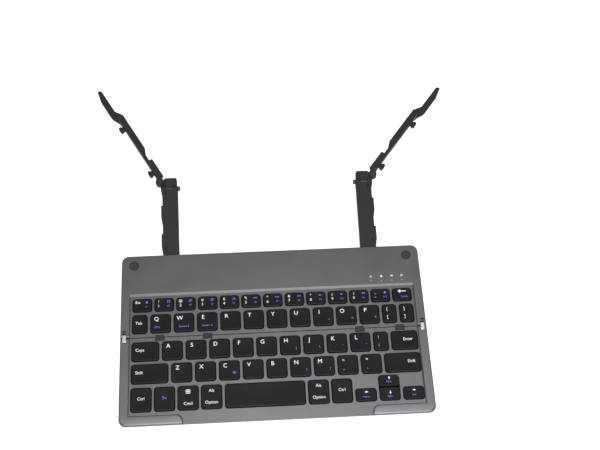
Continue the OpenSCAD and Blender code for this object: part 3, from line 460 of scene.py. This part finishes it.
# ---- Printing ---------------------------------------------------------------------------------
INK_RISE = 0.02         # how far the ink stands above the surface
INK_SINK = 0.03         # how far it reaches in
CAP_SHARE = 0.683       # capital height of the built-in typeface over its size
INKS = {"white": WHITE_INK, "violet": VIOLET_INK, "blue": BLUE_INK, "dim": DIM_INK}
PRINTS = {}             # for each node and ink, key boxes with the faces printed there


def letters(text, cap):
    """The filled outlines of a word, centred, as lists of (x, y) in mm."""
    curve = bpy.data.curves.new("word", "FONT")
    curve.body = text
    curve.size = cap / CAP_SHARE
    curve.align_x = "CENTER"
    curve.resolution_u = 3
    word = bpy.data.objects.new("word", curve)
    scene.collection.objects.link(word)
    graph = bpy.context.evaluated_depsgraph_get()
    mesh = bpy.data.meshes.new_from_object(word.evaluated_get(graph))
    faces = [[(mesh.vertices[i].co.x, mesh.vertices[i].co.y - cap / 2) for i in f.vertices]
             for f in mesh.polygons]
    bpy.data.objects.remove(word)
    bpy.data.curves.remove(curve)
    bpy.data.meshes.remove(mesh)
    return faces


def bar(x0, y0, x1, y1, width):
    """A straight stroke."""
    along = Vector((x1 - x0, y1 - y0))
    side = Vector((-along.y, along.x)).normalized() * width / 2
    return [(x0 - side.x, y0 - side.y), (x1 - side.x, y1 - side.y),
            (x1 + side.x, y1 + side.y), (x0 + side.x, y0 + side.y)]


def ring_arc(x, y, radius, width, start, end, steps=12):
    """Faces of a stroke round part of a circle, angles in degrees."""
    faces = []
    for i in range(steps):
        a, b = (math.radians(start + (end - start) * (i + k) / steps) for k in (0, 1))
        inner, outer = radius - width / 2, radius + width / 2
        faces.append([(x + r * math.cos(t), y + r * math.sin(t))
                      for r, t in ((inner, a), (outer, a), (outer, b), (inner, b))])
    return faces


def outline(x0, y0, x1, y1, width):
    """Faces of a rectangle drawn as a stroke."""
    w = width
    return [[(x0, y0), (x1, y0), (x1, y0 + w), (x0, y0 + w)],
            [(x0, y1 - w), (x1, y1 - w), (x1, y1), (x0, y1)],
            [(x0, y0 + w), (x0 + w, y0 + w), (x0 + w, y1 - w), (x0, y1 - w)],
            [(x1 - w, y0 + w), (x1, y0 + w), (x1, y1 - w), (x1 - w, y1 - w)]]


def wedge(x, y, size, way):
    """A filled triangle that points left (-1) or right (1)."""
    return [(x - way * size / 2, y - size / 2), (x + way * size / 2, y),
            (x - way * size / 2, y + size / 2)][::way]


def arrow(length, head, width, turn):
    """A plain arrow along +X, turned by some degrees."""
    half = length / 2
    points = [(-half, -width / 2), (half - head, -width / 2), (half - head, -head * 0.75),
              (half, 0), (half - head, head * 0.75), (half - head, width / 2),
              (-half, width / 2)]
    c, s = math.cos(math.radians(turn)), math.sin(math.radians(turn))
    return [[(x * c - y * s, x * s + y * c) for x, y in points]]


def speaker(extra):
    """A loudspeaker with some faces beside it."""
    horn = [(-1.3, -0.3), (-0.8, -0.3), (-0.1, -0.8), (-0.1, 0.8), (-0.8, 0.3), (-1.3, 0.3)]
    return [horn] + extra


# Plain symbols about 2.4 mm wide, for the second functions of the number keys
ICONS = {
    "house": [[(-1.1, 0.0), (1.1, 0.0), (0, 1.0)],
              [(-0.7, -0.9), (0.7, -0.9), (0.7, 0), (-0.7, 0)]],
    "pane": outline(-1.1, -0.9, 1.1, 0.9, 0.25) + [bar(-1.1, 0.4, 1.1, 0.4, 0.2)],
    "sheets": outline(-1.1, -1.0, 0.3, 0.4, 0.22) + [bar(-0.5, 0.9, 1.0, 0.9, 0.22),
                                                      bar(1.0, 1.0, 1.0, -0.5, 0.22)],
    "clip": outline(-0.9, -1.0, 0.9, 0.7, 0.25) + [bar(-0.4, 0.9, 0.4, 0.9, 0.3)],
    "shears": [bar(-0.8, -0.2, 0.7, 1.0, 0.25), bar(-0.7, 1.0, 0.8, -0.2, 0.25)]
    + ring_arc(-0.8, -0.6, 0.35, 0.2, 0, 360) + ring_arc(0.8, -0.6, 0.35, 0.2, 0, 360),
    "back": [bar(-1.4, -0.6, -1.4, 0.6, 0.25), wedge(-0.6, 0, 1.1, -1), wedge(0.6, 0, 1.1, -1)],
    "play": [wedge(-0.8, 0, 1.2, 1), bar(0.4, -0.6, 0.4, 0.6, 0.3), bar(1.0, -0.6, 1.0, 0.6, 0.3)],
    "next": [bar(1.4, -0.6, 1.4, 0.6, 0.25), wedge(-0.6, 0, 1.1, 1), wedge(0.6, 0, 1.1, 1)],
    "mute": speaker([bar(0.3, -0.4, 1.1, 0.4, 0.22), bar(0.3, 0.4, 1.1, -0.4, 0.22)]),
    "quiet": speaker([bar(0.3, 0, 1.1, 0, 0.25)]),
    "loud": speaker(ring_arc(0, 0, 0.6, 0.2, -50, 50, 6) + ring_arc(0, 0, 1.1, 0.2, -50, 50, 6)),
    "lock": [[(-0.8, -0.9), (0.8, -0.9), (0.8, 0.2), (-0.8, 0.2)]]
    + ring_arc(0, 0.2, 0.5, 0.22, 0, 180),
    "waves": ring_arc(0, -1.0, 0.5, 0.3, 30, 150, 6) + ring_arc(0, -1.0, 1.2, 0.3, 40, 140, 8)
    + ring_arc(0, -1.0, 1.9, 0.3, 45, 135, 8),
    "lines": [bar(-1.7, y, 1.7, y, 0.6) for y in (-1.2, 0, 1.2)],
    "cell": outline(-1.0, -0.6, 0.8, 0.6, 0.22) + [bar(0.95, -0.25, 0.95, 0.25, 0.3),
                                                    bar(-0.6, 0, 0.3, 0, 0.5)],
    "sun": ring_arc(0, 0, 0.55, 0.3, 0, 360) + [
        bar(0.85 * math.cos(a), 0.85 * math.sin(a), 1.15 * math.cos(a), 1.15 * math.sin(a), 0.2)
        for a in (math.radians(45 * k) for k in range(8))],
}


def put(node, index, ink, dx, dy, faces):
    """Prints faces on the index-th key of a node, dx and dy from the key's centre."""
    box = KEY_BOXES[node][index]
    placed = [[(box[0] + dx + x, box[1] + dy + y) for x, y in face] for face in faces]
    PRINTS.setdefault((node, ink), []).append((box, placed))


def put_text(node, index, ink, dx, dy, text, cap):
    """Prints a word on a key, centred dx and dy from the key's centre."""
    put(node, index, ink, dx, dy, letters(text, cap))


# Capital heights of the legends, and their places from a key's centre
LETTER_CAP = 3.15
LETTER_AT = (-3.1, 3.7)
PAIR_CAP = 2.4          # one sign over another
PAIR_UPPER_Y = 3.7
PAIR_LOWER_Y = -2.8
WIDE_PAIR_X = -3.3      # on keys as wide as the letters'
NARROW_PAIR_X = -1.8
WORD_CAP = 2.3
EXTRA_CAP = 2.0         # second functions of the letter keys
EXTRA_AT = (4.5, -2.6)
SYSTEM_CAP = 1.5
SYSTEM_Y = -3.3
ESC_CAP = 2.1
ESC_AT = (-3.3, 2.4)
SIGN_CAP = 2.0          # number row: sign, digit, symbol and F number
SIGN_AT = (-4.1, 2.5)
DIGIT_CAP = 2.2
DIGIT_AT = (-4.1, -1.3)
SYMBOL_AT = (3.6, 2.3)
F_CAP = 1.3
F_AT = (3.5, -1.5)
DELETE_CAP = 1.4
DELETE_AT = (1.7, -1.9)
PAGE_CAP = 1.3          # second functions of the arrow keys
LONG_ARROW = (6.4, 2.0, 0.6)    # length, head, width
SHORT_ARROW = (2.4, 1.2, 0.5)


def print_letters():
    """The letter keys, and the keys that carry one sign over another."""
    for node, row in (("q_row_keys", "QWERTYUIOP"), ("a_row_keys", "ASDFGHJKL"),
                      ("z_row_keys", "ZXCVBNM")):
        for index, text in enumerate(row):
            put_text(node, index, "white", *LETTER_AT, text, LETTER_CAP)
    for node, index, upper, lower in (("z_row_keys", 7, "<", ","), ("z_row_keys", 8, ">", "."),
                                      ("semicolon_key", 0, ":", ";"),
                                      ("left_bracket_key", 0, "{", "["),
                                      ("right_bracket_key", 0, "}", "]")):
        dx = WIDE_PAIR_X if node == "z_row_keys" else NARROW_PAIR_X
        put_text(node, index, "white", dx, PAIR_UPPER_Y, upper, PAIR_CAP)
        put_text(node, index, "white", dx, PAIR_LOWER_Y, lower, PAIR_CAP)


def print_words():
    """The keys that carry words."""
    words = (("tab_key", -0.7, 0.7, "Tab"), ("caps_key", -4.0, 1.1, "Caps"),
             ("left_shift_key", -7.9, 0.8, "Shift"), ("right_shift_key", 6.7, 0.7, "Shift"),
             ("enter_key", 2.5, 0.7, "Enter"), ("left_ctrl_key", 0, 0.6, "Ctrl"),
             ("right_ctrl_key", 0, 0.6, "Ctrl"), ("command_key", 0, -4.6, "Cmd"),
             ("left_alt_key", 0, 4.7, "Alt"), ("left_alt_key", 0, -4.4, "Option"),
             ("right_alt_key", 0, 4.7, "Alt"), ("right_alt_key", 0, -4.4, "Option"))
    for node, dx, dy, text in words:
        put_text(node, 0, "white", dx, dy, text, WORD_CAP)
    put_text("fn_key", 0, "violet", 0, 0.6, "Fn", WORD_CAP)
    put("command_key", 0, "white", 0, 4.6, ICONS["lines"])


def print_second_functions():
    """What the letter keys do together with Fn."""
    extras = (("q_row_keys", 6, "`"), ("q_row_keys", 7, "~"), ("q_row_keys", 8, "="),
              ("q_row_keys", 9, "+"), ("a_row_keys", 5, "|"), ("a_row_keys", 6, "\\"),
              ("a_row_keys", 7, "'"), ("a_row_keys", 8, '"'), ("z_row_keys", 5, "?"),
              ("z_row_keys", 6, "/"))
    for node, index, text in extras:
        ink = "violet" if text in '"?' else "dim"
        put_text(node, index, ink, *EXTRA_AT, text, EXTRA_CAP)
    for index, dx, text in ((0, -2.5, "SYS1"), (1, 0, "System 2"), (2, 0, "System 3")):
        put_text("q_row_keys", index, "violet", dx, SYSTEM_Y, text, SYSTEM_CAP)
    put("z_row_keys", 2, "blue", 3.7, -2.5, ICONS["waves"])


def print_number_row():
    """A sign over a digit, and beside them a second function with its F number."""
    put_text("esc_key", 0, "white", *ESC_AT, "Esc", ESC_CAP)
    digits, signs = "1234567890-", "!@#$%^&*()_"
    symbols = ("house", "pane", "sheets", "clip", "shears", "back", "play", "next", "mute",
               "quiet", "loud", "lock")
    for order, symbol in enumerate(symbols):
        node = "number_keys" if order else "esc_key"
        index = max(order - 1, 0)
        put(node, index, "violet", *SYMBOL_AT, ICONS[symbol])
        put_text(node, index, "violet", *F_AT, "F%d" % (order + 1), F_CAP)
        if order:
            put_text(node, index, "white", *SIGN_AT, signs[index], SIGN_CAP)
            put_text(node, index, "white", *DIGIT_AT, digits[index], DIGIT_CAP)
    put("backspace_key", 0, "white", 0, 2.7, arrow(*LONG_ARROW, 180))
    put_text("backspace_key", 0, "violet", *DELETE_AT, "Delete", DELETE_CAP)


def print_arrows():
    """The arrow keys and their second functions."""
    for node, turn, dy, text, text_dy in (
            ("left_arrow_key", 180, 2.0, "Home", -1.7), ("right_arrow_key", 0, 2.0, "End", -1.7),
            ("up_arrow_key", 90, 2.0, "PgUp", -0.9), ("down_arrow_key", 270, 0.9, "PgDn", -2.2)):
        put(node, 0, "white", 0.3, dy, arrow(*SHORT_ARROW, turn))
        put_text(node, 0, "violet", 0, text_dy, text, PAGE_CAP)


STATUS_X = (78.45, 86.75, 95.05, 102.95)
STATUS_Y = SEAM_Y + 43.55
STATUS_CAP = 1.9


def print_case():
    """Status symbols over the indicators."""
    marks = (letters("A", STATUS_CAP), ICONS["lock"], ICONS["cell"], ICONS["sun"])
    for x, faces in zip(STATUS_X, marks):
        placed = [[(x + px, STATUS_Y + py) for px, py in face] for face in faces]
        PRINTS.setdefault(("rear_top_cover", "white"), []).append((None, placed))


def lay_ink(work, box, faces):
    """Adds one print as a thin slab that follows a key's hollow, or the flat bezel."""
    corners = {}
    made = []
    for face in faces:
        ring = []
        for x, y in face:
            spot = (round(x, 4), round(y, 4))
            if spot not in corners:
                z = (dish_z(box, x, y) if box else TOP_Z) - INK_SINK
                corners[spot] = work.verts.new(Vector((x, y, z)) * MM)
            if corners[spot] not in ring:
                ring.append(corners[spot])
        if len(ring) > 2:
            made.append(work.faces.new(ring))
    bmesh.ops.recalc_face_normals(work, faces=made)
    for face in made:
        if face.normal.z > 0:
            face.normal_flip()
    grown = bmesh.ops.extrude_face_region(work, geom=made, use_keep_orig=True)
    tops = [v for v in grown["geom"] if isinstance(v, bmesh.types.BMVert)]
    bmesh.ops.translate(work, verts=tops, vec=(0, 0, (INK_RISE + INK_SINK) * MM))
    for face in grown["geom"]:
        if isinstance(face, bmesh.types.BMFace) and face.normal.z < 0:
            face.normal_flip()


def make_prints():
    """Turns all the prints of one ink on one node into one piece."""
    for (node, ink), groups in PRINTS.items():
        work = bmesh.new()
        for box, faces in groups:
            lay_ink(work, box, faces)
        publish("%s_print_on_%s" % (ink, node), work, [INKS[ink]], node, replaced=False)


# ---- Stage ------------------------------------------------------------------------------------
FLOOR_REACH = 6000
FLOOR_GAP = 0.05        # keeps the feet's faces and the floor's apart
FLOOR_COLOR = "#c4c4c4"
FLOOR_LIFT = 0.66       # added where the floor is seen, so that its colour shows as white
SURROUND = 0.45         # light from all round; what is seen of it is full white
# Name, place, width, power in watts and tint
LAMPS = (("overhead_lamp", (60, 95, 1300), 680, 7.6, "#ffffff"),
         ("high_front_lamp", (30, -600, 1100), 600, 14.0, "#fffefa"),
         ("front_lamp", (120, -1000, 600), 900, 6.0, "#fffdf7"))


def floor_paint():
    """Pale and matt, white where it is seen, and clear from below, so that it doesn't hide the
    underside."""
    material = bpy.data.materials.new("pale_floor")
    material.use_nodes = True
    tree = material.node_tree
    tree.nodes.clear()
    rays = add(tree, "ShaderNodeLightPath")
    seen = add(tree, "ShaderNodeMath", [(0, rays, "Is Camera Ray"), (1, rays, "Is Glossy Ray")],
               operation="ADD")
    clear = add(tree, "ShaderNodeMath", [(0, seen, "Value"), (1, rays, "Is Transmission Ray")],
                operation="ADD", use_clamp=True)
    glow = add(tree, "ShaderNodeMath", [(0, clear, "Value")], [(1, FLOOR_LIFT)],
               operation="MULTIPLY")
    matte = add(tree, "ShaderNodeBsdfDiffuse", inputs=[("Color", linear(FLOOR_COLOR))])
    lift = add(tree, "ShaderNodeEmission", [("Strength", glow, "Value")],
               [("Color", linear("#ffffff"))])
    both = add(tree, "ShaderNodeAddShader", [(0, matte, "BSDF"), (1, lift, "Emission")])
    side = add(tree, "ShaderNodeNewGeometry")
    nothing = add(tree, "ShaderNodeBsdfTransparent")
    shown = add(tree, "ShaderNodeMixShader", [("Fac", side, "Backfacing"), (1, both, "Shader"),
                                              (2, nothing, "BSDF")])
    add(tree, "ShaderNodeOutputMaterial", [("Surface", shown, "Shader")])
    return material


def lay_floor():
    """A wide flat floor just under the feet."""
    mesh = bpy.data.meshes.new("floor")
    reach = FLOOR_REACH * MM
    low = -FLOOR_GAP * MM
    mesh.from_pydata([(-reach, -reach, low), (reach, -reach, low), (reach, reach, low),
                      (-reach, reach, low)], [], [(0, 1, 2, 3)])
    mesh.materials.append(floor_paint())
    floor = bpy.data.objects.new("floor", mesh)
    scene.collection.objects.link(floor)


def light_surround():
    """Soft light from all round, which the camera sees as white."""
    world = bpy.data.worlds.new("studio")
    world.use_nodes = True
    tree = world.node_tree
    tree.nodes.clear()
    rays = add(tree, "ShaderNodeLightPath")
    around = add(tree, "ShaderNodeBackground", inputs=[("Color", linear("#ffffff")),
                                                       ("Strength", SURROUND)])
    white = add(tree, "ShaderNodeBackground", inputs=[("Color", linear("#ffffff")),
                                                      ("Strength", 1.0)])
    mix = add(tree, "ShaderNodeMixShader", [("Fac", rays, "Is Camera Ray"),
                                            (1, around, "Background"), (2, white, "Background")])
    add(tree, "ShaderNodeOutputWorld", [("Surface", mix, "Shader")])
    scene.world = world


def hang_lamps():
    """Round soft lamps, aimed at the origin."""
    for name, at, size, power, tint in LAMPS:
        light = bpy.data.lights.new(name, "AREA")
        light.color = linear(tint)[:3]
        light.shape = "DISK"
        light.size = size * MM
        light.energy = power
        lamp = bpy.data.objects.new(name, light)
        lamp.location = Vector(at) * MM
        lamp.rotation_euler = (-lamp.location).to_track_quat("-Z", "Y").to_euler()
        scene.collection.objects.link(lamp)


# ---- The keyboard -----------------------------------------------------------------------------
# Each piece that is made anew from its CAD shape: node, name, finish, rounding of its edges
ARM_PIECES = (("_rail", "_stand_rail", ARM, 0.25),
              ("_knuckle", "_stand_knuckle", ARM, 0.25),
              ("_blade", "_stand_blade", ARM, 0.25),
              ("_tilt_pin", "_headed_tilt_pin", BLACK_PIN, 0.3),
              ("_fold_pin", "_riveted_fold_pin", BLACK_PIN, 0.1),
              ("_rail_foot", "_rail_rubber_foot", RUBBER, 0.3))
CASE_PIECES = (("hinge_links", "nickel_hinge_links", LINK, 0.15),
               ("seam_tabs", "seam_tongues", TAB, 0.15),
               ("closing_pads", "corner_rubber_pads", RUBBER, 0.2),
               ("rear_foot_strip", "rear_rubber_strip", RUBBER, 0.25),
               ("front_feet", "front_rubber_feet", RUBBER, 0.25),
               ("power_switch_knob", "power_slider", TAB, 0.15))
# Hidden pieces, and pins and screws, keep their CAD shape
PLAIN_PIECES = (("rear_dome_mat", MAT), ("front_dome_mat", MAT), ("rear_circuit_board", BOARD),
                ("front_circuit_board", BOARD), ("indicator_board", BOARD),
                ("indicator_lenses", LIGHT_PIPE), ("charging_port", SHELL), ("battery", FOIL),
                ("rear_hinge_pins", PIN), ("front_hinge_pins", PIN), ("arm_pivot_pins", PIN),
                ("rear_screws", PIN), ("front_screws", PIN))

place_camera()
lay_floor()
light_surround()
hang_lamps()
scene.view_settings.view_transform = "Standard"

for half in ("rear", "front"):
    cover(half + "_top_cover", half + "_upper_casing")
    cover(half + "_bottom_cover", half + "_lower_casing")
for side in ("left", "right"):
    for node, name, finish, edge in ARM_PIECES:
        eased(side + node, side + name, finish, edge)
for node, name, finish, edge in CASE_PIECES:
    eased(node, name, finish, edge)
for node in KEY_NODES:
    keycaps(node)
print_letters()
print_words()
print_second_functions()
print_number_row()
print_arrows()
print_case()
make_prints()
for node, finish in PLAIN_PIECES:
    finish_node(node, finish)
